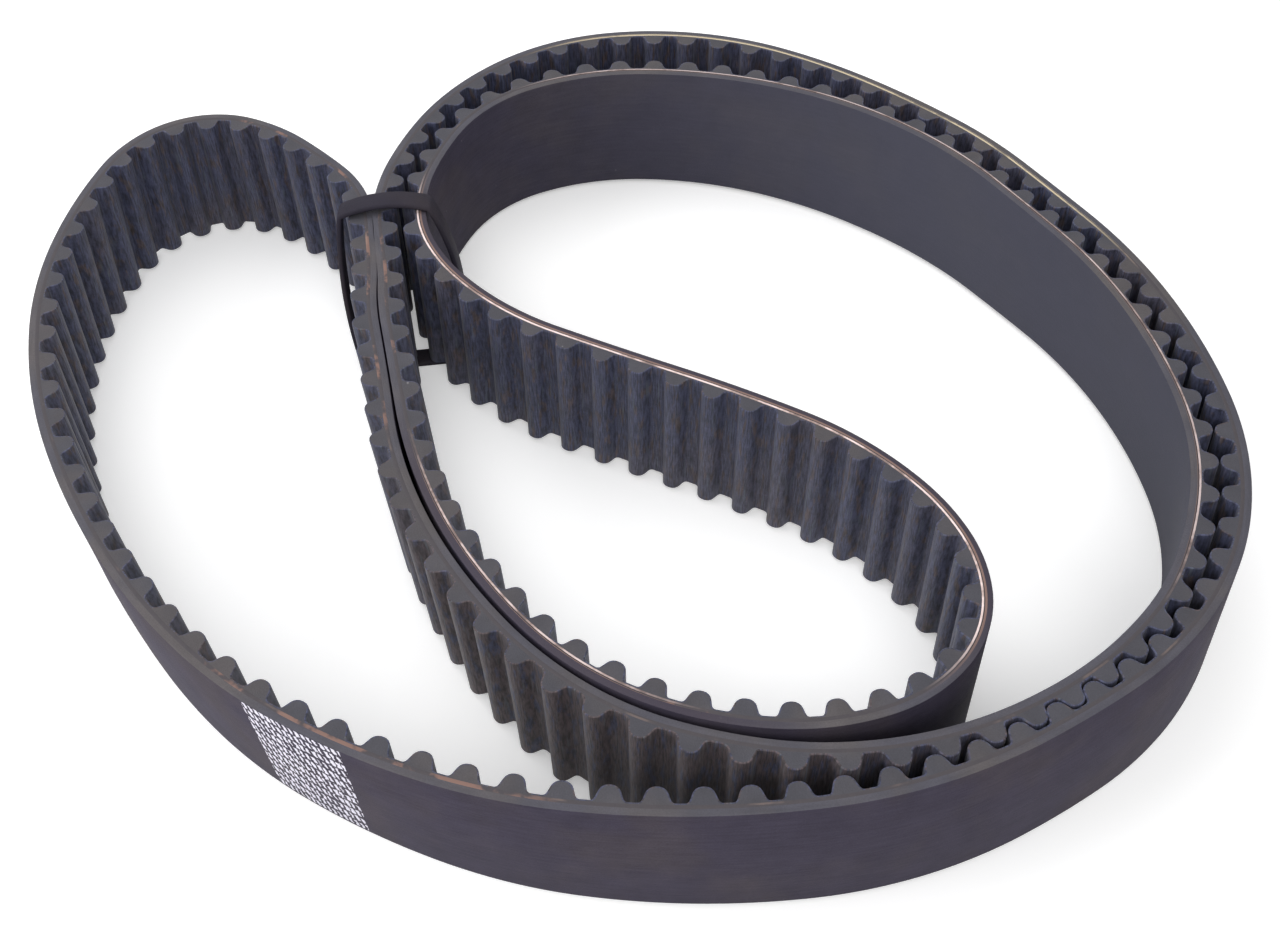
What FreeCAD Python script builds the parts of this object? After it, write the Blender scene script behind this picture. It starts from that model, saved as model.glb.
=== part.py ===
"""Rubber timing belt, 8 mm pitch, gathered into three loops and held by a flat tie strap at the neck.

Frame: millimetres, +Z up, the belt stands on one cut edge, seen from -Y, origin under the middle of
the whole part.  The belt is one endless band: a back cover, a ply of tension cord on the pitch line,
and a toothed body that faces the inside of the loop.  Its pitch line is a closed chain of tangent
arcs, exactly TOOTH_COUNT pitches long.
"""
import math
import os

import FreeCAD
import Part

# ---- belt section ----
PITCH = 8.0             # tooth spacing along the pitch line
TOOTH_COUNT = 207
BELT_WIDTH = 31.5       # across the belt, upright here
TOOTH_HEIGHT = 3.0      # land to tooth tip
TOOTH_ROOT = 4.8        # tooth width at the land, between the root reliefs
TOOTH_SHOULDER = 3.1    # tooth width where the rounded crown starts
CROWN_RISE = 0.9        # height of the crown above that shoulder
CROWN_FACES = 5         # narrow faces that make up the rounded crown
ROOT_RELIEF = 0.35      # slanted corner between land and flank
LAND_TO_PITCH = 0.7     # from the land to the middle of the cords
CORD_THICKNESS = 0.7    # the ply of cords, centred on the pitch line
COVER_THICKNESS = 1.35  # back cover, outside the cords

# ---- how the strands lie beside each other ----
PRESSED_GAP = 0.3       # between two backs where they press together, just below the tie
PARTED_GAP = 1.4        # between those backs further down
BULB_GAP = 1.2          # between those backs under the tie
TIP_GAP = 0.4           # between tooth tips that face each other

# ---- tie strap ----
STRAP_WIDTH = 4.4
STRAP_THICKNESS = 1.0
STRAP_GAP = 0.3         # between the strap and what it holds
STRAP_TOP_Y = 40.3      # middle of the run over the top
STRAP_BOTTOM_Y = 26.8   # middle of the run under the belt
STRAP_SKEW = 8.0        # degrees that both runs turn away from X
STRAP_MARGIN = 1.0      # the strands are also measured this far beyond the strap's edges
STRAP_ARCH = 1.3        # rise of the run over the top, above its ends
STRAP_LEFT_BULGE = 1.4  # rise of the upright run beside the bulb strand
STRAP_RIGHT_BULGE = 2.9 # rise of the upright run beside the tongue strand

# ---- where the belt runs: the neck, then stations as x, y and heading in degrees ----
NECK_X, NECK_Y = -51.5, 42.0            # where the middle strand passes under the tie
NECK_HEADINGS = (106.0, 271.0, 93.0)    # bulb strand, middle strand, tongue strand
OUTER_LOOP = [                           # from the neck round the left bulb and the far side
    (-72.6, 63.6, 139), (-100, 71.2, 201), (-114.4, 55, 252), (-118, 5, 281), (-90, -55, 307),
    (-56, -86, 330), (-6, -103, 354), (72, -90, 389), (101, -69, 407), (119, -13, 456),
    (101.2, 39, 483), (76.5, 71.6, 497), (39.5, 98, 514), (-2, 104.6, 548), (-45.2, 70.7, 606),
]
INNER_TOP = [(5, 91.2, 0)]                 # the inner loop parts from the outer one here
INNER_LOW = [(9, -89, -199), (-20, -69, -229), (-38, -41, -246)]
INNER_PRESSED = [(-50, 5, -257), (-53.4, 28, -259)]
TONGUE_LOOP = [(47, -85, 380), (65.8, -60, 450), (56.9, -37.2, 489), (12, -8, 516), (-33.7, 19.5, 491)]
SHARED_STATIONS = (11, 10, 9, 8, 7)      # outer stations that the inner loop runs beside


BACK = CORD_THICKNESS / 2 + COVER_THICKNESS      # pitch line to the back face
TIP = LAND_TO_PITCH + TOOTH_HEIGHT               # pitch line to the tooth tip


def direction(degrees):
    return math.cos(math.radians(degrees)), math.sin(math.radians(degrees))


def beside(station, distance):
    """The oppositely heading station that lies this far to the left of a station."""
    x, y, heading = station
    c, s = direction(heading)
    return x - distance * s, y + distance * c, heading + 180


def stations(reach):
    """Every station in travel order.  reach moves the loops' free stations to or from the neck."""
    def spread(loop):
        return [(NECK_X + reach * (x - NECK_X), NECK_Y + reach * (y - NECK_Y), h) for x, y, h in loop]

    outer, tongue = spread(OUTER_LOOP), spread(TONGUE_LOOP)
    top, low, pressed = spread(INNER_TOP), spread(INNER_LOW), spread(INNER_PRESSED)
    facing = 2 * TIP + TIP_GAP
    inner = [beside(outer[-1], facing)] + top
    inner += [beside(outer[i], facing) for i in SHARED_STATIONS] + low + pressed
    middle = [beside(s, -(2 * BACK + PRESSED_GAP)) for s in reversed(pressed)]
    middle += [beside(s, -(2 * BACK + PARTED_GAP)) for s in reversed(low)]
    strands = (NECK_X - 2 * BACK - BULB_GAP, NECK_X, NECK_X + facing)
    neck = [(x, NECK_Y, heading) for x, heading in zip(strands, NECK_HEADINGS)]
    return [neck[0]] + outer + [neck[1]] + middle + tongue + [neck[2]] + inner


class Arc:
    """One arc of the pitch line: start point, start heading, signed curvature and length."""

    def __init__(self, start, tangent, end):
        dx, dy = end[0] - start[0], end[1] - start[1]
        chord = math.hypot(dx, dy)
        self.start, self.heading = start, math.atan2(tangent[1], tangent[0])
        self.curvature = 2 * (tangent[0] * dy - tangent[1] * dx) / chord**2
        half = math.asin(max(-1.0, min(1.0, self.curvature * chord / 2)))
        if dx * tangent[0] + dy * tangent[1] < 0:
            half = math.copysign(math.pi, half) - half
        self.length = 2 * half / self.curvature if abs(self.curvature) > 1e-7 else chord

    def at(self, s, offset=0.0):
        """The point s along the arc and offset to its left, and the heading there."""
        x, y = self.start
        heading = self.heading + self.curvature * s
        if abs(self.curvature) > 1e-7:
            x += (math.sin(heading) - math.sin(self.heading)) / self.curvature
            y -= (math.cos(heading) - math.cos(self.heading)) / self.curvature
        else:
            x, y = x + s * math.cos(heading), y + s * math.sin(heading)
        return x - offset * math.sin(heading), y + offset * math.cos(heading), heading


def biarc(a, b):
    """Two tangent arcs from station a to station b."""
    ta, tb = direction(a[2]), direction(b[2])
    vx, vy = b[0] - a[0], b[1] - a[1]
    along = vx * (ta[0] + tb[0]) + vy * (ta[1] + tb[1])
    spread = 2 * (1 - ta[0] * tb[0] - ta[1] * tb[1])
    square = vx * vx + vy * vy
    if spread > 1e-9:
        reach = (math.sqrt(along**2 + spread * square) - along) / spread
    else:
        reach = square / (2 * along)
    middle = ((a[0] + b[0] + reach * (ta[0] - tb[0])) / 2, (a[1] + b[1] + reach * (ta[1] - tb[1])) / 2)
    first = Arc(a[:2], ta, middle)
    heading = first.at(first.length)[2]
    return [first, Arc(middle, (math.cos(heading), math.sin(heading)), b[:2])]


def pitch_line(reach):
    points = stations(reach)
    return [arc for a, b in zip(points, points[1:] + points[:1]) for arc in biarc(a, b)]


def path_length(arcs):
    return sum(arc.length for arc in arcs)


def fitted_pitch_line():
    """The pitch line whose loops reach just so far that it is TOOTH_COUNT pitches long."""
    target = PITCH * TOOTH_COUNT
    low, high = 0.2, 5.0
    for _ in range(60):
        middle = (low + high) / 2
        if path_length(pitch_line(middle)) < target:
            low = middle
        else:
            high = middle
    return pitch_line(high)


def at_length(arcs, s, offset=0.0):
    """Point and heading at the length s of the whole pitch line."""
    for arc in arcs:
        if s <= arc.length:
            return arc.at(s, offset)
        s -= arc.length
    return arcs[-1].at(arcs[-1].length, offset)


def vector(x, y, z=0.0):
    return FreeCAD.Vector(x, y, z)


def smooth_wire(arcs, offset):
    """The closed curve that runs beside the pitch line, offset to its left."""
    edges = []
    for arc in arcs:
        a, m, b = (vector(*arc.at(arc.length * f, offset)[:2]) for f in (0, 0.5, 1))
        if abs(arc.curvature) > 1e-5:
            edges.append(Part.Arc(a, m, b).toShape())
        else:
            edges.append(Part.LineSegment(a, b).toShape())
    return Part.Wire(edges)


def land_wire(arcs, offset):
    """The closed line of one straight side per tooth.  The band bends at the thin lands between teeth."""
    corners = [vector(*at_length(arcs, k * PITCH, offset)[:2]) for k in range(TOOTH_COUNT)]
    return Part.makePolygon(corners + corners[:1])


def tooth_profile():
    """Section of one tooth above its feet, as (along, above the land): flank, crown and flank."""
    root, shoulder = TOOTH_ROOT / 2, TOOTH_SHOULDER / 2
    radius = (shoulder**2 + CROWN_RISE**2) / (2 * CROWN_RISE)
    half_angle = math.asin(shoulder / radius) if CROWN_RISE < shoulder else math.pi / 2
    crown = []
    for i in range(CROWN_FACES + 1):
        angle = half_angle * (2 * i / CROWN_FACES - 1)
        crown.append((radius * math.sin(angle), TOOTH_HEIGHT - radius * (1 - math.cos(angle))))
    return [(-root, ROOT_RELIEF)] + crown + [(root, ROOT_RELIEF)]


def toothed_wire(arcs):
    """The closed toothed outline: rigid teeth square to the pitch line, their feet on the bent lands."""
    corners, foot = [], TOOTH_ROOT / 2 + ROOT_RELIEF
    for k in range(TOOTH_COUNT):
        middle = (k + 0.5) * PITCH
        x, y, heading = at_length(arcs, middle)
        c, s = math.cos(heading), math.sin(heading)
        corners.append(vector(*at_length(arcs, middle - foot, LAND_TO_PITCH)[:2]))
        for along, above in tooth_profile():
            above += LAND_TO_PITCH
            corners.append(vector(x + along * c - above * s, y + along * s + above * c))
        corners.append(vector(*at_length(arcs, middle + foot, LAND_TO_PITCH)[:2]))
    return Part.makePolygon(corners + corners[:1])


def band(outside, inside):
    """The closed band between two outlines, standing BELT_WIDTH high."""
    face = Part.makeFace([outside, inside], "Part::FaceMakerBullseye")
    return face.extrude(vector(0, 0, BELT_WIDTH))


def strap(arcs):
    """A flat strap round the three strands.  Its upper run lies further back than its lower run."""
    lean = (STRAP_TOP_Y - STRAP_BOTTOM_Y) / BELT_WIDTH
    skew = math.tan(math.radians(STRAP_SKEW))
    near = 5 * (BACK + TIP)                 # five strands' depths from the middle one take in all three

    def span(run_y):
        """Lowest and highest x of the strands beside one run, measured at the skewed run's middle."""
        found = []
        steps = int(path_length(arcs))
        for k in range(steps):
            for offset in (-BACK, TIP):
                x, y, _ = at_length(arcs, path_length(arcs) * k / steps, offset)
                off_run = abs(y - run_y - skew * (x - NECK_X))
                if off_run < STRAP_WIDTH / 2 + STRAP_MARGIN and abs(x - NECK_X) < near:
                    found.append(x)
        return min(found), max(found)

    (low_a, low_b), (high_a, high_b) = span(STRAP_BOTTOM_Y), span(STRAP_TOP_Y)
    corners = [(low_a, 0), (low_b, 0), (high_b, BELT_WIDTH), (high_a, BELT_WIDTH)]
    rises = (0, STRAP_RIGHT_BULGE, STRAP_ARCH, STRAP_LEFT_BULGE)

    def outline(distance):
        """Closed line in the strap's slanted plane: four bowed runs, bent round the belt's four edges."""
        def place(corner, angle, reach):
            x, z = corner[0] + reach * math.cos(angle), corner[1] + reach * math.sin(angle)
            y = STRAP_BOTTOM_Y + skew * (x - NECK_X) + lean * z - STRAP_WIDTH / 2
            return vector(x, y, z)

        runs = []
        for a, b, rise in zip(corners, corners[1:] + corners[:1], rises):
            dx, dz = b[0] - a[0], b[1] - a[1]
            outward = math.atan2(-dx, dz)
            bow = 2 * math.atan(2 * rise / math.hypot(dx, dz))
            runs.append((a, b, rise, outward, bow))
        edges = []
        for (a, b, rise, outward, bow), (_, _, _, following, next_bow) in zip(runs, runs[1:] + runs[:1]):
            start, end = place(a, outward - bow, distance), place(b, outward + bow, distance)
            middle = place(((a[0] + b[0]) / 2, (a[1] + b[1]) / 2), outward, distance + rise)
            edges.append((Part.Arc(start, middle, end) if rise else Part.LineSegment(start, end)).toShape())
            turn = (following - next_bow - outward - bow) % (2 * math.pi)
            bend = [place(b, outward + bow + turn * f, distance) for f in (0, 0.5, 1)]
            edges.append(Part.Arc(*bend).toShape())
        return Part.Wire(edges)

    outer, inner = outline(STRAP_GAP + STRAP_THICKNESS), outline(STRAP_GAP)
    return Part.makeFace([outer, inner], "Part::FaceMakerBullseye").extrude(vector(0, STRAP_WIDTH, 0))


def main():
    arcs = fitted_pitch_line()
    back_wire = smooth_wire(arcs, -BACK)
    cord_outer = land_wire(arcs, -CORD_THICKNESS / 2)
    cord_inner = land_wire(arcs, CORD_THICKNESS / 2)
    nodes = {
        "back_cover": band(back_wire, cord_outer),
        "tension_cord_ply": band(cord_outer, cord_inner),
        "toothed_body": band(cord_inner, toothed_wire(arcs)),
        "tie_strap": strap(arcs),
    }
    box = Part.makeCompound(list(nodes.values())).BoundBox
    home = vector(-box.Center.x, -box.Center.y, -box.ZMin)
    os.makedirs("parts", exist_ok=True)
    for name, shape in nodes.items():
        shape.translate(home)
        shape.exportStep(f"parts/{name}.step")
        print(name, "valid", shape.isValid(), "solids", len(shape.Solids), "volume", round(shape.Volume, 1))


main()
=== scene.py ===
"""Rubber timing belt, gathered into three loops and tied at the neck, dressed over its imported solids."""
import math

import bpy
import numpy as np
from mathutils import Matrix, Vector


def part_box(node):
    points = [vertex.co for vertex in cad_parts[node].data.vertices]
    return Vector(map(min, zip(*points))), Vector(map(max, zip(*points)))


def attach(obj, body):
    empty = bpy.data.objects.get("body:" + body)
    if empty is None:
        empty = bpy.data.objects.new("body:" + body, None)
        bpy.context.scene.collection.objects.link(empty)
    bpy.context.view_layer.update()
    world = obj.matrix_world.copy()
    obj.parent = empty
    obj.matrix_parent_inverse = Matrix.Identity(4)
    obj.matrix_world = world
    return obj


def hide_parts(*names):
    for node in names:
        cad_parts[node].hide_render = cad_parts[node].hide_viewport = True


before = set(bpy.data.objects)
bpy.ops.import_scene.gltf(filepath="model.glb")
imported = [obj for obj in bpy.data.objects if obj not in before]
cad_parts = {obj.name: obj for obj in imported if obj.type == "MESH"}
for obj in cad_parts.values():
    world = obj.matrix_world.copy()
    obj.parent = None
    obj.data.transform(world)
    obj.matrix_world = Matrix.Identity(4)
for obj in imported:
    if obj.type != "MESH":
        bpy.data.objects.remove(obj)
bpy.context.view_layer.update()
scene = bpy.context.scene

# ==== The run of the belt ====
# The belt is one endless band.  Its pitch line, where the cords lie, is a closed chain of tangent
# arcs through these stations, and every layer of the belt lies beside it at its own distance.
PITCH, TOOTH_COUNT = 8.0, 207                   # millimetres, as are all lengths in this section
LAND_TO_PITCH, TOOTH_HEIGHT = 0.7, 3.0
CORD_THICKNESS, COVER_THICKNESS = 0.7, 1.35
PRESSED_GAP, PARTED_GAP, BULB_GAP, TIP_GAP = 0.3, 1.4, 1.2, 0.4
NECK_X, NECK_Y = -51.5, 42.0                    # where the middle strand passes under the tie
NECK_HEADINGS = (106.0, 271.0, 93.0)            # bulb strand, middle strand, tongue strand
OUTER_LOOP = [                                  # x, y and heading in degrees
    (-72.6, 63.6, 139), (-100, 71.2, 201), (-114.4, 55, 252), (-118, 5, 281), (-90, -55, 307),
    (-56, -86, 330), (-6, -103, 354), (72, -90, 389), (101, -69, 407), (119, -13, 456),
    (101.2, 39, 483), (76.5, 71.6, 497), (39.5, 98, 514), (-2, 104.6, 548), (-45.2, 70.7, 606),
]
INNER_TOP = [(5, 91.2, 0)]
INNER_LOW = [(9, -89, -199), (-20, -69, -229), (-38, -41, -246)]
INNER_PRESSED = [(-50, 5, -257), (-53.4, 28, -259)]
TONGUE_LOOP = [(47, -85, 380), (65.8, -60, 450), (56.9, -37.2, 489), (12, -8, 516), (-33.7, 19.5, 491)]
SHARED_STATIONS = (11, 10, 9, 8, 7)             # outer stations that the inner loop runs beside
BACK = CORD_THICKNESS / 2 + COVER_THICKNESS     # pitch line to the back face
TIP = LAND_TO_PITCH + TOOTH_HEIGHT              # pitch line to the tooth tip
STRAIGHT = 1e-7                                 # an arc with less curvature than this counts as a line


def beside(station, distance):
    """The oppositely heading station that lies this far to the left of a station."""
    x, y, heading = station
    return (x - distance * math.sin(math.radians(heading)),
            y + distance * math.cos(math.radians(heading)), heading + 180)


def stations(reach):
    """Every station in travel order.  reach moves the loops' free stations to or from the neck."""
    def spread(loop):
        return [(NECK_X + reach * (x - NECK_X), NECK_Y + reach * (y - NECK_Y), h) for x, y, h in loop]

    outer, tongue = spread(OUTER_LOOP), spread(TONGUE_LOOP)
    top, low, pressed = spread(INNER_TOP), spread(INNER_LOW), spread(INNER_PRESSED)
    facing = 2 * TIP + TIP_GAP
    inner = [beside(outer[-1], facing)] + top
    inner += [beside(outer[i], facing) for i in SHARED_STATIONS] + low + pressed
    middle = [beside(s, -(2 * BACK + PRESSED_GAP)) for s in reversed(pressed)]
    middle += [beside(s, -(2 * BACK + PARTED_GAP)) for s in reversed(low)]
    strands = (NECK_X - 2 * BACK - BULB_GAP, NECK_X, NECK_X + facing)
    neck = [(x, NECK_Y, heading) for x, heading in zip(strands, NECK_HEADINGS)]
    return [neck[0]] + outer + [neck[1]] + middle + tongue + [neck[2]] + inner


def arc(start, heading, end):
    """The arc that leaves start at this heading and ends at end: x, y, heading, curvature, length."""
    dx, dy = end[0] - start[0], end[1] - start[1]
    c, s, chord = math.cos(heading), math.sin(heading), math.hypot(dx, dy)
    curvature = 2 * (c * dy - s * dx) / chord**2
    half = math.asin(max(-1.0, min(1.0, curvature * chord / 2)))
    if dx * c + dy * s < 0:
        half = math.copysign(math.pi, half) - half
    length = 2 * half / curvature if abs(curvature) > STRAIGHT else chord
    return start[0], start[1], heading, curvature, length


def pitch_line(reach):
    """The chain of arcs, two from each station to the next, joined where their tangents agree."""
    points, arcs = stations(reach), []
    for a, b in zip(points, points[1:] + points[:1]):
        ha, hb = math.radians(a[2]), math.radians(b[2])
        tax, tay, tbx, tby = math.cos(ha), math.sin(ha), math.cos(hb), math.sin(hb)
        vx, vy = b[0] - a[0], b[1] - a[1]
        along = vx * (tax + tbx) + vy * (tay + tby)
        turn = 2 * (1 - tax * tbx - tay * tby)
        square = vx * vx + vy * vy
        arm = square / (2 * along)
        if turn > 1e-9:
            arm = (math.sqrt(along**2 + turn * square) - along) / turn
        middle = (a[0] + b[0] + arm * (tax - tbx)) / 2, (a[1] + b[1] + arm * (tay - tby)) / 2
        first = arc(a[:2], ha, middle)
        arcs += [first, arc(middle, first[2] + first[3] * first[4], b[:2])]
    return np.array(arcs)


low, high = 0.5, 2.0
for _ in range(50):
    reach = (low + high) / 2
    if pitch_line(reach)[:, 4].sum() < PITCH * TOOTH_COUNT:
        low = reach
    else:
        high = reach
belt_line = pitch_line(reach)
arc_ends = np.cumsum(belt_line[:, 4])
BELT_LENGTH = arc_ends[-1]


# Near the right the inner strand settles between the teeth of the outer one, and the teeth there drift
# to suit.  Under the strap, and again some way below it, the two strands that lie back to back draw together.
NESTLING = np.array([                           # length, shift to the left
    (0, -0.4), (10, -0.3), (24, 0), (718, 0), (732, -0.4), (750, -0.4), (768, 0), (785, 0), (805, -0.2),
    (825, -0.3), (865, -0.3), (895, 0), (1388, 0), (1396, 0.5), (1404, 1.3), (1412, 1.8), (1420, 2.3),
    (1428, 3.0), (1436, 3.15), (1444, 2.8), (1461, 1.9), (1478, 0.9), (1494, 0), (1502, 0), (1532, -0.3),
    (1572, -0.3), (1592, -0.2), (1612, 0), (1630, 0), (1646, -0.4), (1656, -0.4),
])
TEETH_DRIFT = np.array([                        # length, drift along the belt
    (0, 0), (200, 0), (240, 0.9), (295, 0.9), (340, -0.9), (385, -0.9), (420, 0), (1396, 0), (1404, -0.1),
    (1412, -0.9), (1420, -1.6), (1428, -2.0), (1436, -2.3), (1444, -2.6), (1452, -3.2), (1475, -3.4),
    (1500, -2.0), (1540, 0), (1656, 0),
])


def smoothed(table, s, spread):
    """The table's value at the lengths s, averaged over this spread to either side."""
    places = [np.mod(s + d * spread, BELT_LENGTH) for d in (-1, -0.5, 0, 0.5, 1)]
    return np.mean([np.interp(place, table[:, 0], table[:, 1]) for place in places], axis=0)


def run(s, offset):
    """Plan points at the lengths s of the pitch line, each offset to its left, and the headings there."""
    s = np.mod(s, BELT_LENGTH)
    offset = offset + smoothed(NESTLING, s, 5)
    k = np.minimum(np.searchsorted(arc_ends, s), len(belt_line) - 1)
    x, y, heading, curvature, length = np.moveaxis(belt_line[k], -1, 0)
    s = s - (arc_ends[k] - length)
    turned = heading + curvature * s
    bent = np.abs(curvature) > STRAIGHT
    c = np.where(bent, curvature, 1.0)
    px = x + np.where(bent, (np.sin(turned) - np.sin(heading)) / c, s * np.cos(heading))
    py = y - np.where(bent, (np.cos(turned) - np.cos(heading)) / c, -s * np.sin(heading))
    return np.stack([px - offset * np.sin(turned), py + offset * np.cos(turned)], axis=-1), turned


# The belt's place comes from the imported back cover: its middle in plan, and its two cut edges.
cover_low, cover_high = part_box("back_cover")
OUTLINE_POINTS = 6000
outline = run(np.linspace(0, BELT_LENGTH, OUTLINE_POINTS), -BACK)[0]
middle_of_cover = np.array([(cover_low[i] + cover_high[i]) / 2 * 1000 for i in (0, 1)])
home = middle_of_cover - (outline.min(0) + outline.max(0)) / 2
FOOT, TOP = cover_low[2] * 1000, cover_high[2] * 1000


# The free loops don't stand quite upright: their foot lies this far to the left of their top edge.
LEANS = np.array([                              # length of the pitch line, lean in millimetres
    (0, -0.2), (14, -0.4), (26, -0.6), (45, -1.1), (90, -1.6), (125, -0.3), (162, 0.5), (186, 2.2),
    (235, 2.45), (265, 1.8), (302, 0.2), (332, -0.6), (385, -1.65), (430, -1.6), (460, -2.6), (482, -2.5),
    (525, -0.3), (572, 2.3), (630, 0.6), (690, -0.1), (712, -0.3), (741, 0), (762, 0.1), (798, 2.2),
    (835, 2.2), (889, 0.5), (926, 0), (960, -0.8), (1000, 0.3), (1060, -0.1), (1160, 0), (1205, -0.6),
    (1240, -2.2), (1262, -2.2), (1295, 0.2), (1345, 2.4), (1376, 2.6), (1402, 1.6), (1441, 1.5),
    (1502, -0.5), (1556, -2.1), (1602, -2.2), (1636, -0.4), (1656, -0.2),
])


def foot_shift(s):
    """Plan vector from the top edge to the foot of the belt at the lengths s, smoothed between the leans."""
    return (run(s, 1.0)[0] - run(s, 0.0)[0]) * smoothed(LEANS, s, 12)[:, None]


SHARP_FROM = 38                                 # degrees between two faces, from which their edge is sharp


def closed_band(name, columns, rings, zones):
    """A closed band with the belt's own length as u.  columns are the lengths s, rings are the plan curves
    round its section as (points, height), and zones give each strip between two rings its material slot."""
    n, m = len(columns), len(rings)
    verts = np.empty((n, m, 3))
    shift = foot_shift(columns)
    for j, (points, height) in enumerate(rings):
        verts[:, j, :2] = points + home + shift * (TOP - height) / (TOP - FOOT)
        verts[:, j, 2] = height
    i, j = np.meshgrid(np.arange(n), np.arange(m), indexing="ij")
    i2, j2 = (i + 1) % n, (j + 1) % m
    quads = np.stack([i * m + j, i * m + j2, i2 * m + j2, i2 * m + j], axis=-1).reshape(-1, 4)
    mesh = bpy.data.meshes.new(name)
    mesh.from_pydata((verts / 1000).reshape(-1, 3).tolist(), [], quads.tolist())
    across = np.cumsum([0] + [np.linalg.norm(verts[0, (k + 1) % m] - verts[0, k]) for k in range(m)])
    u, v = np.append(columns, columns[0] + BELT_LENGTH) / 1000, across / 1000
    uv = np.stack([np.stack([u[i], v[j]], -1), np.stack([u[i], v[j + 1]], -1),
                   np.stack([u[i + 1], v[j + 1]], -1), np.stack([u[i + 1], v[j]], -1)], axis=2)
    mesh.uv_layers.new(name="belt").data.foreach_set("uv", uv.reshape(-1))
    mesh.polygons.foreach_set("material_index", np.tile(zones, n).astype(np.int32))
    mesh.polygons.foreach_set("use_smooth", np.ones(n * m, dtype=bool))
    mesh.set_sharp_from_angle(angle=math.radians(SHARP_FROM))
    piece = bpy.data.objects.new(name, mesh)
    scene.collection.objects.link(piece)
    return piece


# ==== Materials' shared effects ====
# Short helpers for the shader nodes, and the look that all the rubber shares.  It has been handled, so its
# tone is mottled, with streaks along the belt and pale specks of dust and powder.
def socket(group, name, kind, is_input=True, value=None):
    """A new input or output of a node group."""
    made = group.interface.new_socket(name=name, in_out="INPUT" if is_input else "OUTPUT", socket_type=kind)
    if value is not None:
        made.default_value = value


def link(nodes, source, target):
    """Joins an output to an input in the tree that these nodes belong to."""
    nodes.id_data.links.new(source, target)


def math_node(nodes, operation, a, b=None, clamp=False):
    """The result of one sum.  a and b are numbers or sockets."""
    made = nodes.new("ShaderNodeMath")
    made.operation, made.use_clamp = operation, clamp
    for k, value in enumerate((a, b)):
        if value is None:
            continue
        if isinstance(value, (int, float)):
            made.inputs[k].default_value = value
        else:
            link(nodes, value, made.inputs[k])
    return made.outputs[0]


def times(nodes, *factors):
    """The product of all the factors, which are numbers or sockets."""
    product = factors[0]
    for factor in factors[1:]:
        product = math_node(nodes, "MULTIPLY", product, factor)
    return product


def one_less(nodes, value):
    """1 where the value is 0, and 0 where it is 1."""
    return math_node(nodes, "SUBTRACT", 1.0, value)


def ramp_node(nodes, value, low, high):
    """0 below low, 1 above high, smooth between."""
    made = nodes.new("ShaderNodeMapRange")
    made.interpolation_type = "SMOOTHSTEP"
    made.inputs["From Min"].default_value, made.inputs["From Max"].default_value = low, high
    link(nodes, value, made.inputs["Value"])
    return made.outputs[0]


def mix_node(nodes, factor, a, b):
    """Colour a where the factor is 0 and colour b where it is 1."""
    made = nodes.new("ShaderNodeMix")
    made.data_type = "RGBA"
    for k, value in ((0, factor), (6, a), (7, b)):
        if isinstance(value, (int, float)):
            made.inputs[k].default_value = value
        elif isinstance(value, tuple):
            made.inputs[k].default_value = (*value, 1.0)
        else:
            link(nodes, value, made.inputs[k])
    return made.outputs[2]


def belt_map(nodes):
    """The belt's own UV map in metres: along the pitch line, and round the section."""
    place = nodes.new("ShaderNodeUVMap")
    place.uv_map = "belt"
    return place.outputs[0]


def belt_lengths(nodes):
    """The same map as two values in millimetres."""
    parts = nodes.new("ShaderNodeSeparateXYZ")
    link(nodes, belt_map(nodes), parts.inputs[0])
    return [times(nodes, parts.outputs[axis], 1000.0) for axis in "XY"]


def stretch_of(nodes, s, start, end, fade):
    """1 along the belt from start to end, fading to 0 about each of them."""
    begun, over = ramp_node(nodes, s, start - fade, start + fade), ramp_node(nodes, s, end - fade, end + fade)
    return times(nodes, begun, one_less(nodes, over))


def noise_node(nodes, coordinate, scale, detail=4.0, roughness=0.55, stretch=None):
    """Noise with a size given in features per metre, stretched along each axis by its factor."""
    if stretch:
        mapping = nodes.new("ShaderNodeMapping")
        mapping.inputs["Scale"].default_value = stretch
        link(nodes, coordinate, mapping.inputs["Vector"])
        coordinate = mapping.outputs[0]
    made = nodes.new("ShaderNodeTexNoise")
    made.inputs["Scale"].default_value = scale
    made.inputs["Detail"].default_value = detail
    made.inputs["Roughness"].default_value = roughness
    link(nodes, coordinate, made.inputs["Vector"])
    return made.outputs["Fac"]


def scaled(nodes, colour, factor):
    """The colour made lighter or darker by a factor."""
    made = nodes.new("ShaderNodeVectorMath")
    made.operation = "SCALE"
    link(nodes, colour, made.inputs[0])
    link(nodes, factor, made.inputs["Scale"])
    return made.outputs[0]


SPECK_COLOUR = (0.32, 0.31, 0.33)


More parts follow.
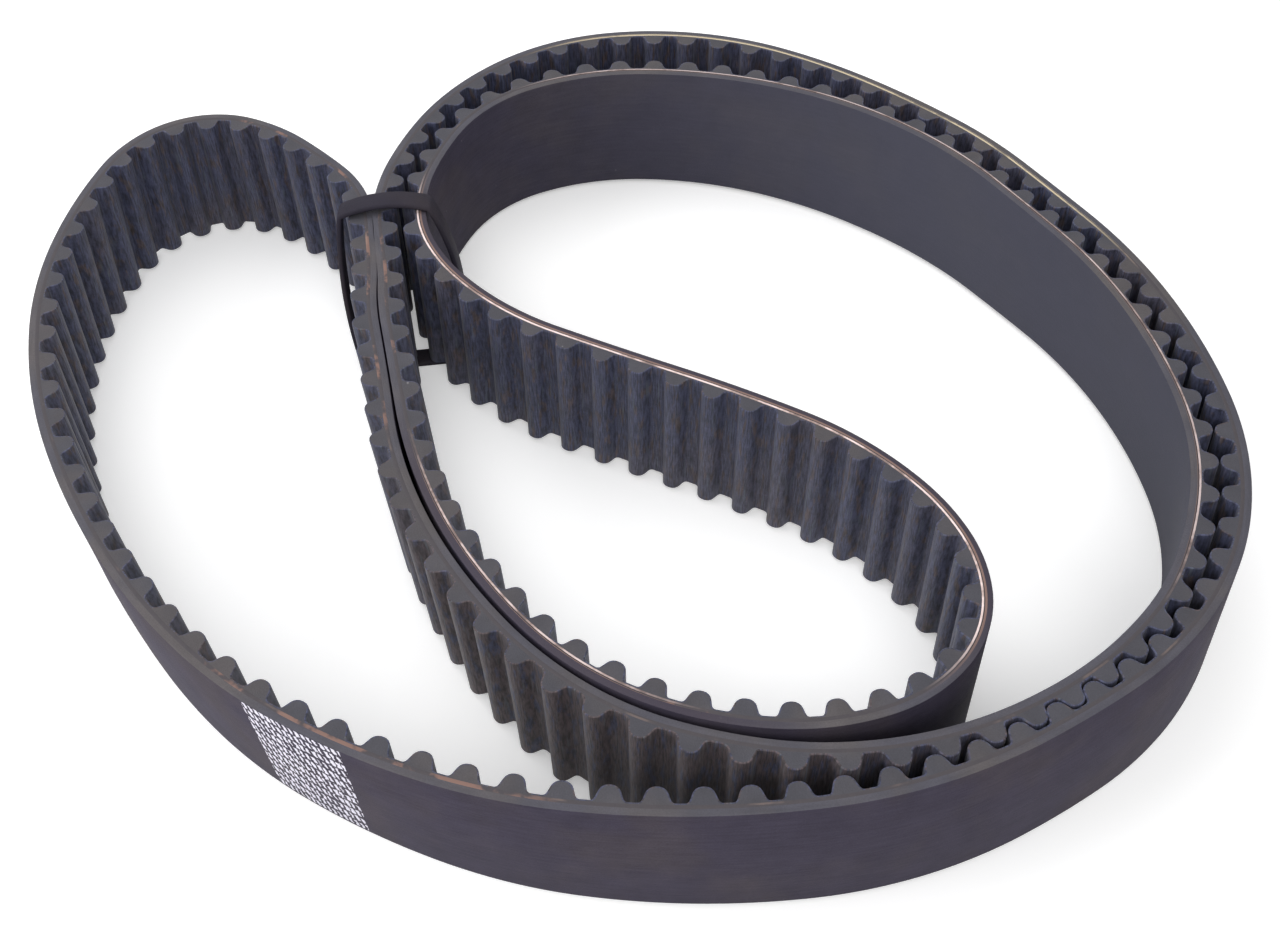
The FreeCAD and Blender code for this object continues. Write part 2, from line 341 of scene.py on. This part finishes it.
def handled_rubber():
    """Group: base colour with broad mottling, lengthwise streaks and pale specks; also a height for bump."""
    group = bpy.data.node_groups.new("handled_rubber", "ShaderNodeTree")
    socket(group, "Color", "NodeSocketColor")
    socket(group, "Stain", "NodeSocketColor")
    socket(group, "Mottle", "NodeSocketFloat", value=0.5)
    socket(group, "Specks", "NodeSocketFloat", value=0.5)
    socket(group, "Color", "NodeSocketColor", is_input=False)
    socket(group, "Height", "NodeSocketFloat", is_input=False)
    nodes = group.nodes
    given, result = nodes.new("NodeGroupInput"), nodes.new("NodeGroupOutput")
    place = nodes.new("ShaderNodeTexCoord").outputs["Object"]
    broad = noise_node(nodes, place, 45, 3)
    patches = noise_node(nodes, place, 160, 4)
    streaks = noise_node(nodes, belt_map(nodes), 100, 5, 0.6, stretch=(1.2, 14.0, 1.0))
    grain = noise_node(nodes, place, 3500, 3, 0.6)
    stain = times(nodes, ramp_node(nodes, broad, 0.42, 0.68), given.outputs["Mottle"])
    tone = mix_node(nodes, stain, given.outputs["Color"], given.outputs["Stain"])
    light = math_node(nodes, "ADD", times(nodes, patches, 0.5), times(nodes, streaks, 0.55))
    shade = math_node(nodes, "ADD", light, 0.48)
    fine = math_node(nodes, "ADD", times(nodes, grain, 0.5), 0.75)
    shaded = scaled(nodes, tone, times(nodes, shade, fine))
    dots = nodes.new("ShaderNodeTexVoronoi")
    dots.inputs["Scale"].default_value = 260
    link(nodes, place, dots.inputs["Vector"])
    near = one_less(nodes, ramp_node(nodes, dots.outputs["Distance"], 0.03, 0.09))
    some = ramp_node(nodes, noise_node(nodes, place, 130, 2), 0.60, 0.70)
    speck = times(nodes, near, some, given.outputs["Specks"])
    link(nodes, mix_node(nodes, speck, shaded, SPECK_COLOUR), result.inputs["Color"])
    height = math_node(nodes, "ADD", grain, times(nodes, streaks, 0.8))
    link(nodes, height, result.inputs["Height"])
    return group


handled = handled_rubber()


def handled_node(nodes, colour, stain, mottle, specks):
    """The group above, placed in a material with its own colours and shares."""
    made = nodes.new("ShaderNodeGroup")
    made.node_tree = handled
    made.inputs["Color"].default_value = (*colour, 1.0)
    made.inputs["Stain"].default_value = (*stain, 1.0)
    made.inputs["Mottle"].default_value = mottle
    made.inputs["Specks"].default_value = specks
    return made


def new_material(name, roughness, specular=0.5):
    """A material with an empty Principled shader; returns it, its nodes and the shader."""
    made = bpy.data.materials.new(name)
    made.use_nodes = True
    nodes = made.node_tree.nodes
    shader = nodes["Principled BSDF"]
    shader.inputs["Roughness"].default_value = roughness
    shader.inputs["Specular IOR Level"].default_value = specular
    return made, nodes, shader


def bump(nodes, shader, height, distance):
    """Fine relief from a height between 0 and 1, at most this many metres deep."""
    made = nodes.new("ShaderNodeBump")
    made.inputs["Distance"].default_value = distance
    made.inputs["Strength"].default_value = 0.6
    link(nodes, height, made.inputs["Height"])
    link(nodes, made.outputs[0], shader.inputs["Normal"])


# ==== Back cover ====
# The smooth rubber back, ground to thickness along the belt.  It carries one block of printed marks,
# stamped in white ink across the full width, and its cut edges have a hair of rounding.
EDGE_ROUND = 0.18                               # radius of the cut edges
EDGE_MIDDLE = 0.3                               # how far in an edge's middle point lies, as a share of that
BLOCK_START, BLOCK_END = 235.6, 255.6           # the printed block, as lengths of the pitch line
BLOCK_FROM_FOOT, BLOCK_FROM_TOP = 0.5, 0.35     # bare strips at its two ends
MARK_ROWS, MARK_STEP = 12, 1.2                  # rows across the belt, and spacing of the marks in a row
MARK_LEAN, ROW_SHIFT = 0.5, 0.55                # how far a mark leans, and each row is set off
MARK_WOBBLE = 0.7
SHORTEST_MARK, MARK_SPREAD = 0.42, 0.35         # share of its step that a mark fills, and more by luck
INK = (0.80, 0.78, 0.88)
PAINTED_LIGHT_SPAN, PAINTED_LIGHT_TINT = (1195.0, 1480.0), (0.070, 0.073, 0.096)     # where the inner loop's cover is painted paler and bluer: painted light on its inner wall
DARKER_CUTS = ((808.0, 905.0), (942.0, 1118.0))  # where the cover's cut edge is darker, on the middle strand and the tongue strand
TAN_LINE = (0.74, 0.82)                         # where the second of them fades to tan beside the cords


def printed_marks(nodes, s, up):
    """How much ink lies here: rows of short leaning strokes, ragged and worn, that say nothing."""
    ragged = noise_node(nodes, belt_map(nodes), 1100, 3)
    wobble = times(nodes, math_node(nodes, "SUBTRACT", ragged, 0.5), MARK_WOBBLE)
    row = math_node(nodes, "ADD", times(nodes, up, MARK_ROWS / (TOP - FOOT)), wobble)
    lane, row_number = math_node(nodes, "FRACT", row), math_node(nodes, "FLOOR", row)
    leaning = math_node(nodes, "ADD", s, times(nodes, lane, MARK_LEAN))
    leaning = math_node(nodes, "ADD", leaning, times(nodes, row_number, ROW_SHIFT))
    step = math_node(nodes, "ADD", math_node(nodes, "DIVIDE", leaning, MARK_STEP), wobble)
    pair = nodes.new("ShaderNodeCombineXYZ")
    link(nodes, math_node(nodes, "FLOOR", step), pair.inputs[0])
    link(nodes, row_number, pair.inputs[1])
    chance = nodes.new("ShaderNodeTexWhiteNoise")
    chance.noise_dimensions = "2D"
    link(nodes, pair.outputs[0], chance.inputs["Vector"])
    luck = chance.outputs["Value"]
    filled = math_node(nodes, "ADD", times(nodes, luck, MARK_SPREAD), SHORTEST_MARK)
    left = math_node(nodes, "SUBTRACT", filled, math_node(nodes, "FRACT", step))
    stroke = times(nodes, ramp_node(nodes, left, 0.0, 0.12), ramp_node(nodes, luck, 0.01, 0.03))
    above = one_less(nodes, ramp_node(nodes, lane, 0.90, 0.98))
    tall = times(nodes, ramp_node(nodes, lane, 0.14, 0.24), above)
    along = times(nodes, math_node(nodes, "GREATER_THAN", s, BLOCK_START),
                  math_node(nodes, "LESS_THAN", s, BLOCK_END))
    across = times(nodes, math_node(nodes, "GREATER_THAN", up, BLOCK_FROM_FOOT),
                   math_node(nodes, "LESS_THAN", up, TOP - FOOT - BLOCK_FROM_TOP))
    wear = math_node(nodes, "ADD", times(nodes, ragged, 0.5), 0.66)
    return math_node(nodes, "MULTIPLY", times(nodes, stroke, tall, along, across), wear, clamp=True)


def ground_back():
    """Rubber ground smooth and matt, painted paler along the inner loop as painted light, with the block of
    marks.
    """
    made, nodes, shader = new_material("ground_back", 0.65, 0.06)
    rubber = handled_node(nodes, (0.047, 0.041, 0.062), (0.061, 0.051, 0.060), 0.7, 0.25)
    s, up = belt_lengths(nodes)
    # Painted light: the inner loop's cover is painted paler and bluer along this span, as if more light fell
    # on it.
    painted_light = times(nodes, stretch_of(nodes, s, *PAINTED_LIGHT_SPAN, 90), 0.75)
    colour = mix_node(nodes, painted_light, rubber.outputs["Color"], PAINTED_LIGHT_TINT)
    link(nodes, mix_node(nodes, printed_marks(nodes, s, up), colour, INK), shader.inputs["Base Color"])
    bump(nodes, shader, rubber.outputs["Height"], 0.00010)
    return made


def cut_rubber():
    """Knife-cut rubber: greyer than the moulded faces, scored along the belt, chalky in places."""
    made, nodes, shader = new_material("cut_rubber", 0.62, 0.3)
    rubber = handled_node(nodes, (0.068, 0.066, 0.083), (0.092, 0.081, 0.081), 0.8, 0.4)
    s, up = belt_lengths(nodes)
    # The cut edge is made darker along these two stretches of the belt.
    middle_strand, tongue = (stretch_of(nodes, s, start, end, 14) for start, end in DARKER_CUTS)
    dark = times(nodes, math_node(nodes, "MAXIMUM", middle_strand, tongue), 0.8)
    colour = mix_node(nodes, dark, rubber.outputs["Color"], (0.034, 0.025, 0.042))
    by_cord = ramp_node(nodes, math_node(nodes, "SUBTRACT", up, TOP - FOOT), *TAN_LINE)
    colour = mix_node(nodes, times(nodes, by_cord, tongue, 0.8), colour, (0.27, 0.17, 0.14))
    link(nodes, colour, shader.inputs["Base Color"])
    bump(nodes, shader, rubber.outputs["Height"], 0.00016)
    return made


back_finish, cut_finish = ground_back(), cut_rubber()
columns = np.arange(0, BELT_LENGTH, PITCH / 6)
in_a_bit = EDGE_ROUND * EDGE_MIDDLE
section = [                                     # offset from the pitch line, height; outer face first
    (-BACK, FOOT + EDGE_ROUND), (-BACK, TOP - EDGE_ROUND), (-BACK + in_a_bit, TOP - in_a_bit),
    (-BACK + EDGE_ROUND, TOP), (-CORD_THICKNESS / 2, TOP), (-CORD_THICKNESS / 2, FOOT),
    (-BACK + EDGE_ROUND, FOOT), (-BACK + in_a_bit, FOOT + in_a_bit),
]
rings = [(run(columns, offset)[0], height) for offset, height in section]
cover = closed_band("cover_band", columns, rings, [0, 0, 1, 1, 1, 1, 1, 0])
cover.data.materials.append(back_finish)
cover.data.materials.append(cut_finish)
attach(cover, "root")
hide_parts("back_cover")

# ==== Tension cords ====
# Twisted glass cord, wound as one long helix.  The cut lays the outermost turn open along part of the
# belt, as a pale pinkish line in the edge; elsewhere only short brown traces of it show.
CORD_PINK = ((942, 1118, 1.0), (1172, 1398, 0.65), (816, 884, 0.8))     # pink and white, and how plainly
CORD_GOLD = (520.0, 665.0)                      # where it shows again, cream to golden
STAINS = ((0, 62), (225, 290), (735, 895), (1590, 1656))    # where rubbed brown patches show between
TURN, NEXT_TURN = (0.27, 0.71), (-0.04, 0.11)   # the turn laid open and the one below it, across the ply
TURN_FADE, TURN_WANDER = 0.06, 0.12
CORD_BULGE = 0.06                               # how far the open turn stands out of the cut edge


def open_cord():
    """The ply's cut edge: dark rubber, with the open turn as a pale line where it shows."""
    made, nodes, shader = new_material("open_cord", 0.65, 0.3)
    s, up = belt_lengths(nodes)
    ragged = noise_node(nodes, belt_map(nodes), 900, 3, 0.7)
    patches = noise_node(nodes, belt_map(nodes), 110, 4, 0.65)
    loose = noise_node(nodes, belt_map(nodes), 60, 4, 0.6)
    wander = times(nodes, math_node(nodes, "SUBTRACT", ragged, 0.5), TURN_WANDER)
    across = math_node(nodes, "ADD", math_node(nodes, "SUBTRACT", up, TOP - FOOT), wander)

    def thread_of(start, end):
        over = ramp_node(nodes, across, end - TURN_FADE, end)
        return times(nodes, ramp_node(nodes, across, start, start + TURN_FADE), one_less(nodes, over))

    thread, second = thread_of(*TURN), thread_of(*NEXT_TURN)
    worn = math_node(nodes, "ADD", times(nodes, ramp_node(nodes, patches, 0.36, 0.5), 0.6), 0.4)
    colour = mix_node(nodes, ragged, (0.050, 0.046, 0.055), (0.074, 0.064, 0.068))

    stained = stretch_of(nodes, s, *STAINS[0], 6)
    for start, end in STAINS[1:]:
        stained = math_node(nodes, "MAXIMUM", stained, stretch_of(nodes, s, start, end, 6))
    stained = times(nodes, stained, ramp_node(nodes, patches, 0.50, 0.60), 0.75)
    colour = mix_node(nodes, stained, colour, (0.26, 0.15, 0.12))
    traces = times(nodes, ramp_node(nodes, loose, 0.56, 0.64), thread, 0.22)
    colour = mix_node(nodes, traces, colour, (0.36, 0.26, 0.22))

    both = math_node(nodes, "MAXIMUM", thread, second)
    gold = times(nodes, stretch_of(nodes, s, *CORD_GOLD, 15), both, worn)
    colour = mix_node(nodes, gold, colour, (0.62, 0.52, 0.36))
    pale = mix_node(nodes, ramp_node(nodes, patches, 0.40, 0.58), (0.52, 0.38, 0.34), (0.88, 0.72, 0.70))
    for start, end, shown in CORD_PINK:
        there = stretch_of(nodes, s, start, end, 12)
        colour = mix_node(nodes, times(nodes, there, 0.8), colour, (0.026, 0.019, 0.023))
        colour = mix_node(nodes, times(nodes, second, there, 0.8 * shown), colour, (0.34, 0.22, 0.18))
        colour = mix_node(nodes, times(nodes, thread, worn, there, shown), colour, pale)
    link(nodes, colour, shader.inputs["Base Color"])
    bump(nodes, shader, ragged, 0.00015)
    return made


section = [(-CORD_THICKNESS / 2, FOOT), (-CORD_THICKNESS / 2, TOP), (0.0, TOP + CORD_BULGE),
           (CORD_THICKNESS / 2, TOP), (CORD_THICKNESS / 2, FOOT)]
rings = [(run(columns, offset)[0], height) for offset, height in section]
cords = closed_band("cord_ply", columns, rings, [0] * 5)
cords.data.materials.append(open_cord())
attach(cords, "root")
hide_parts("tension_cord_ply")

# ==== Teeth and their fabric facing ====
# Moulded teeth of rubber under a woven nylon facing.  Each tooth is rigid and square to the pitch
# line; the band bends at the thin lands between them, where the facing lies close on the cords.
FACING, FACING_EDGE = 0.28, 0.1                 # thickness of the fabric, and bevel of its cut edge
ROOT_WIDTH, TIP_WIDTH = 5.05, 2.85              # where the flanks' lines meet the land and the tip's line
ROOT_RADIUS, TIP_RADIUS, ARC_STEPS = 0.9, 1.8, 4
LAND_BENDS_FROM = 0.6                           # share of the root's radius over which a land starts to bend
BROWNED = (1462.0, 1572.0)                      # where the facing has rubbed brown
# Pale teal-grey of the painted sheen, a painted highlight on the facing.
PAINTED_SHEEN = (0.095, 0.112, 0.135)


def rounded(corners, radii, steps):
    """A polyline whose inner corners are arcs of these radii, each tangent to its two sides."""
    corners = [np.array(c, dtype=float) for c in corners]
    line = [corners[0][None]]
    for before, corner, after, radius in zip(corners, corners[1:], corners[2:], radii):
        a, b = before - corner, after - corner
        a, b = a / np.linalg.norm(a), b / np.linalg.norm(b)
        half = math.acos(np.clip(a @ b, -1, 1)) / 2
        centre = corner + (a + b) / np.linalg.norm(a + b) * radius / math.sin(half)
        first = corner + a * radius / math.tan(half) - centre
        last = corner + b * radius / math.tan(half) - centre
        swing = math.atan2(first[0] * last[1] - first[1] * last[0], first @ last)
        t = np.linspace(0, swing, steps + 1)
        line.append(centre + np.stack([first[0] * np.cos(t) - first[1] * np.sin(t),
                                       first[0] * np.sin(t) + first[1] * np.cos(t)], -1))
    return np.concatenate(line + [corners[-1][None]])


half_root, half_tip = ROOT_WIDTH / 2, TIP_WIDTH / 2
tooth_corners = [(-PITCH / 2, 0), (-half_root, 0), (-half_tip, TOOTH_HEIGHT), (half_tip, TOOTH_HEIGHT),
                 (half_root, 0), (PITCH / 2, 0)]
tooth = rounded(tooth_corners, (ROOT_RADIUS, TIP_RADIUS, TIP_RADIUS, ROOT_RADIUS), ARC_STEPS)
tangent = np.gradient(tooth, axis=0)
tangent /= np.linalg.norm(tangent, axis=1)[:, None]
tooth_inside = tooth - FACING * np.stack([-tangent[:, 1], tangent[:, 0]], -1)
tooth, tooth_inside = tooth[:-1], tooth_inside[:-1]


def tooth_curve(profile):
    """The profile once for each tooth, rigid about its middle and bent with the belt on its lands."""
    middles = (np.arange(TOOTH_COUNT) + 0.5)[:, None] * PITCH
    s = middles + profile[None, :, 0]
    s, middles = s + smoothed(TEETH_DRIFT, s, 4), middles + smoothed(TEETH_DRIFT, middles, 4)
    above = LAND_TO_PITCH + np.broadcast_to(profile[None, :, 1], s.shape)
    bent = run(s, above)[0]
    centre, heading = run(middles, 0.0)
    c, n = np.cos(heading), np.sin(heading)
    rigid = centre + np.stack([profile[None, :, 0] * c - above * n, profile[None, :, 0] * n + above * c], -1)
    past_root = np.abs(profile[:, 0]) - half_root
    weight = np.clip(past_root / (ROOT_RADIUS * LAND_BENDS_FROM), 0, 1)[None, :, None]
    return (rigid * (1 - weight) + bent * weight).reshape(-1, 2), s.reshape(-1)


def tooth_rubber():
    """Moulded rubber, cut: as the cover's edge, a little darker."""
    made, nodes, shader = new_material("tooth_rubber", 0.62, 0.3)
    rubber = handled_node(nodes, (0.057, 0.056, 0.068), (0.081, 0.071, 0.071), 0.7, 0.5)
    link(nodes, rubber.outputs["Color"], shader.inputs["Base Color"])
    bump(nodes, shader, rubber.outputs["Height"], 0.00016)
    return made


def facing_fabric():
    """Woven nylon soaked with rubber: fine streaks along each tooth, navy to brown, with pale grey streaks of
    painted sheen.
    """
    made, nodes, shader = new_material("facing_fabric", 0.6, 0.35)
    rubber = handled_node(nodes, (0.044, 0.048, 0.088), (0.063, 0.056, 0.074), 0.6, 0.35)
    place = belt_map(nodes)
    fine = noise_node(nodes, place, 420, 4, 0.65, stretch=(9.0, 0.7, 1.0))
    hue = noise_node(nodes, place, 210, 3, 0.6, stretch=(6.0, 0.8, 1.0))
    # Painted sheen: random streaks where the facing is painted pale grey as if catching the light.
    sheen_noise = noise_node(nodes, place, 300, 4, 0.6, stretch=(8.0, 0.35, 1.0))
    rubbed = stretch_of(nodes, belt_lengths(nodes)[0], *BROWNED, 20)
    rubbed = times(nodes, rubbed, ramp_node(nodes, hue, 0.38, 0.5))
    browned = math_node(nodes, "MAXIMUM", ramp_node(nodes, hue, 0.52, 0.64), rubbed)
    brown = mix_node(nodes, browned, rubber.outputs["Color"], (0.068, 0.051, 0.055))
    tone = math_node(nodes, "ADD", times(nodes, ramp_node(nodes, fine, 0.3, 0.7), 1.2), 0.35)
    sheen_mask = times(nodes, ramp_node(nodes, sheen_noise, 0.55, 0.72), 0.7)
    link(nodes, mix_node(nodes, sheen_mask, scaled(nodes, brown, tone), PAINTED_SHEEN), shader.inputs["Base Color"])
    bump(nodes, shader, fine, 0.00010)
    shader.inputs["Sheen Weight"].default_value = 0.08
    shader.inputs["Sheen Roughness"].default_value = 0.5
    return made


skin, s_columns = tooth_curve(tooth)
core = tooth_curve(tooth_inside)[0]
base = run(s_columns, CORD_THICKNESS / 2)[0]
rubber_rings = [(base, TOP), (core, TOP), (core, FOOT), (base, FOOT)]
body = closed_band("tooth_band", s_columns, rubber_rings[::-1], [0] * 4)
body.data.materials.append(tooth_rubber())
near_skin = skin + (core - skin) * (FACING_EDGE / FACING)
facing_rings = [(core, TOP), (near_skin, TOP), (skin, TOP - FACING_EDGE), (skin, FOOT + FACING_EDGE),
                (near_skin, FOOT), (core, FOOT)]
facing = closed_band("tooth_facing", s_columns, facing_rings[::-1], [0] * 6)
facing.data.materials.append(facing_fabric())
for piece in (body, facing):
    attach(piece, "root")
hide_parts("toothed_body")
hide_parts("toothed_body")

# ==== Tie strap ====
# A soft flat black strap round the three strands.  Its upper run lies further back than its lower run,
# and all but the lower one bow out, most of all beside the tongue strand.
STRAP_WIDTH, STRAP_THICKNESS, STRAP_GAP = 4.4, 1.0, 0.3
STRAP_TOP_Y, STRAP_BOTTOM_Y, STRAP_SKEW, STRAP_MARGIN = 40.3, 26.8, 8.0, 1.0
STRAP_BOWS = (0.01, 2.9, 1.3, 1.4)              # rise of the lower run, next to none, then right, upper, left
STRAP_ROUND = 0.3                               # radius of its edges
RUN_STEPS, CORNER_STEPS = 16, 6
skew = math.tan(math.radians(STRAP_SKEW))
strap_rise = (STRAP_TOP_Y - STRAP_BOTTOM_Y) / (TOP - FOOT)


def strands_beside(run_y):
    """Lowest and highest x of the strands under one run of the strap."""
    faces = np.concatenate([run(np.arange(0, BELT_LENGTH), offset)[0] for offset in (-BACK, TIP)])
    off_run = np.abs(faces[:, 1] - run_y - skew * (faces[:, 0] - NECK_X))
    neck_width = 5 * (BACK + TIP)               # five strands' depths from the middle one take in all three
    near = (off_run < STRAP_WIDTH / 2 + STRAP_MARGIN) & (np.abs(faces[:, 0] - NECK_X) < neck_width)
    return faces[near, 0].min(), faces[near, 0].max()


def strap_bends():
    """Centre, radius and outward angle at each point of the strap, seen along the strands."""
    (low_a, low_b), (high_a, high_b) = strands_beside(STRAP_BOTTOM_Y), strands_beside(STRAP_TOP_Y)
    width = TOP - FOOT
    corners = [np.array(c) for c in ((low_a, 0), (low_b, 0), (high_b, width), (high_a, width))]

    def side(k):
        """Run k: its two ends, half its length, its outward angle and half of the angle that it turns by."""
        a, b = corners[k % 4], corners[(k + 1) % 4]
        half = np.linalg.norm(b - a) / 2
        return a, b, half, math.atan2(a[0] - b[0], b[1] - a[1]), 2 * math.atan(STRAP_BOWS[k % 4] / half)

    bends = []
    for k, rise in enumerate(STRAP_BOWS):
        a, b, half, outward, bow = side(k)
        radius = (half**2 + rise**2) / (2 * rise)
        centre = (a + b) / 2 - (radius - rise) * np.array([math.cos(outward), math.sin(outward)])
        bends += [(*centre, radius, outward + turn) for turn in np.linspace(-bow, bow, RUN_STEPS + 1)]
        next_outward, next_bow = side(k + 1)[3:]
        swing = (next_outward - next_bow - outward - bow) % (2 * math.pi)
        corner_turns = np.linspace(0, 1, CORNER_STEPS + 1)[1:-1] * swing
        bends += [(*b, 0.0, outward + bow + turn) for turn in corner_turns]
    return np.array(bends)


def strap_outline():
    """The strap's own section: distance out from the strands, and place across its width."""
    inner, outer, edge = STRAP_GAP, STRAP_GAP + STRAP_THICKNESS, STRAP_WIDTH / 2
    r, cut = STRAP_ROUND, STRAP_ROUND * EDGE_MIDDLE
    half = [(inner, r - edge), (inner + cut, cut - edge), (inner + r, -edge),
            (outer - r, -edge), (outer - cut, cut - edge), (outer, r - edge)]
    return half + [(distance, -along) for distance, along in reversed(half)]


def soft_strap():
    """The strap's outline carried round its bends."""
    bends, outline = strap_bends(), strap_outline()
    n, m = len(bends), len(outline)
    verts = np.empty((n, m, 3))
    for j, (distance, along) in enumerate(outline):
        x = bends[:, 0] + (bends[:, 2] + distance) * np.cos(bends[:, 3])
        z = bends[:, 1] + (bends[:, 2] + distance) * np.sin(bends[:, 3])
        y = STRAP_BOTTOM_Y + skew * (x - NECK_X) + strap_rise * z + along
        verts[:, j] = np.stack([x + home[0], y + home[1], z + FOOT], -1)
    i, j = np.meshgrid(np.arange(n), np.arange(m), indexing="ij")
    i2, j2 = (i + 1) % n, (j + 1) % m
    quads = np.stack([i * m + j, i2 * m + j, i2 * m + j2, i * m + j2], axis=-1).reshape(-1, 4)
    mesh = bpy.data.meshes.new("tie_strap_soft")
    mesh.from_pydata((verts / 1000).reshape(-1, 3).tolist(), [], quads.tolist())
    mesh.polygons.foreach_set("use_smooth", np.ones(n * m, dtype=bool))
    piece = bpy.data.objects.new("tie_strap_soft", mesh)
    scene.collection.objects.link(piece)
    return piece


def strap_plastic():
    """Matt black plastic, dulled by handling."""
    made, nodes, shader = new_material("strap_plastic", 0.6, 0.12)
    rubber = handled_node(nodes, (0.026, 0.023, 0.034), (0.045, 0.037, 0.042), 0.9, 0.2)
    link(nodes, rubber.outputs["Color"], shader.inputs["Base Color"])
    bump(nodes, shader, rubber.outputs["Height"], 0.0001)
    return made


strap = soft_strap()
strap.data.materials.append(strap_plastic())
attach(strap, "root")
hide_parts("tie_strap")

# ==== Floor, light and camera ====
# A pale floor, a broad soft light from above and behind, two more from the front and the left, and the
# camera, which looks down on the belt steeply.  To the eye alone the floor has a glow and the sky is white.
FLOOR_HALF, FLOOR_WHITE, FLOOR_GLOW = 3.0, 0.95, 0.30
SKY_LIGHT, SKY_SEEN = 0.50, 1.0
LAMPS = (                                       # place in metres, size, watts; each faces the belt
    ("overhead", (-0.25, 0.35, 0.9), 0.8, 3.0),
    ("front", (0.05, -0.7, 0.8), 0.6, 3.9),
    ("left", (-0.95, -0.2, 0.5), 0.7, 5.6),
)
CAMERA_FROM_NECK = (56.389, -269.505, 231.4)    # millimetres, and it grows with the loops' reach
CAMERA_TILT, CAMERA_LENS = 49.91, 45.06         # degrees below level, and millimetres


def seen_rays(nodes):
    """1 for rays of the camera, of gloss and through glass, else 0."""
    rays = nodes.new("ShaderNodeLightPath")
    seen = math_node(nodes, "ADD", rays.outputs["Is Camera Ray"], rays.outputs["Is Glossy Ray"])
    return math_node(nodes, "ADD", seen, rays.outputs["Is Transmission Ray"], clamp=True)


def studio_floor():
    """A level sheet of matt paper."""
    mesh, half = bpy.data.meshes.new("floor"), FLOOR_HALF
    corners = [(-half, -half, 0), (half, -half, 0), (half, half, 0), (-half, half, 0)]
    mesh.from_pydata(corners, [], [(0, 1, 2, 3)])
    floor = bpy.data.objects.new("floor", mesh)
    scene.collection.objects.link(floor)
    made, nodes, shader = new_material("floor_paper", 0.9, 0.1)
    shader.inputs["Base Color"].default_value = (FLOOR_WHITE, FLOOR_WHITE, FLOOR_WHITE, 1)
    shader.inputs["Emission Color"].default_value = (1, 1, 1, 1)
    link(nodes, times(nodes, seen_rays(nodes), FLOOR_GLOW), shader.inputs["Emission Strength"])
    mesh.materials.append(made)


def area_light(name, place, size, power):
    """A round soft light that faces the belt."""
    data = bpy.data.lights.new(name, "AREA")
    data.shape, data.size, data.energy = "DISK", size, power
    light = bpy.data.objects.new(name, data)
    light.location = place
    light.rotation_euler = (-Vector(place)).to_track_quat("-Z", "Y").to_euler()
    scene.collection.objects.link(light)


studio_floor()
for lamp in LAMPS:
    area_light(*lamp)
world = bpy.data.worlds.new("studio")
world.use_nodes = True
scene.world = world
sky_nodes = world.node_tree.nodes
sky = sky_nodes["Background"]
extra = times(sky_nodes, seen_rays(sky_nodes), SKY_SEEN - SKY_LIGHT)
link(sky_nodes, math_node(sky_nodes, "ADD", extra, SKY_LIGHT), sky.inputs["Strength"])
sky.inputs["Color"].default_value = (1, 1, 1, 1)

camera_data = bpy.data.cameras.new("view")
camera_data.lens, camera_data.sensor_width = CAMERA_LENS, 36.0
camera_data.clip_start, camera_data.clip_end = 0.01, 10.0
camera = bpy.data.objects.new("view", camera_data)
neck = np.array([NECK_X + home[0], NECK_Y + home[1], TOP])
camera.location = (neck + reach * np.array(CAMERA_FROM_NECK)) / 1000
camera.rotation_euler = (math.radians(90 - CAMERA_TILT), 0, 0)
scene.collection.objects.link(camera)
scene.camera = camera
scene.view_settings.view_transform = "Standard"
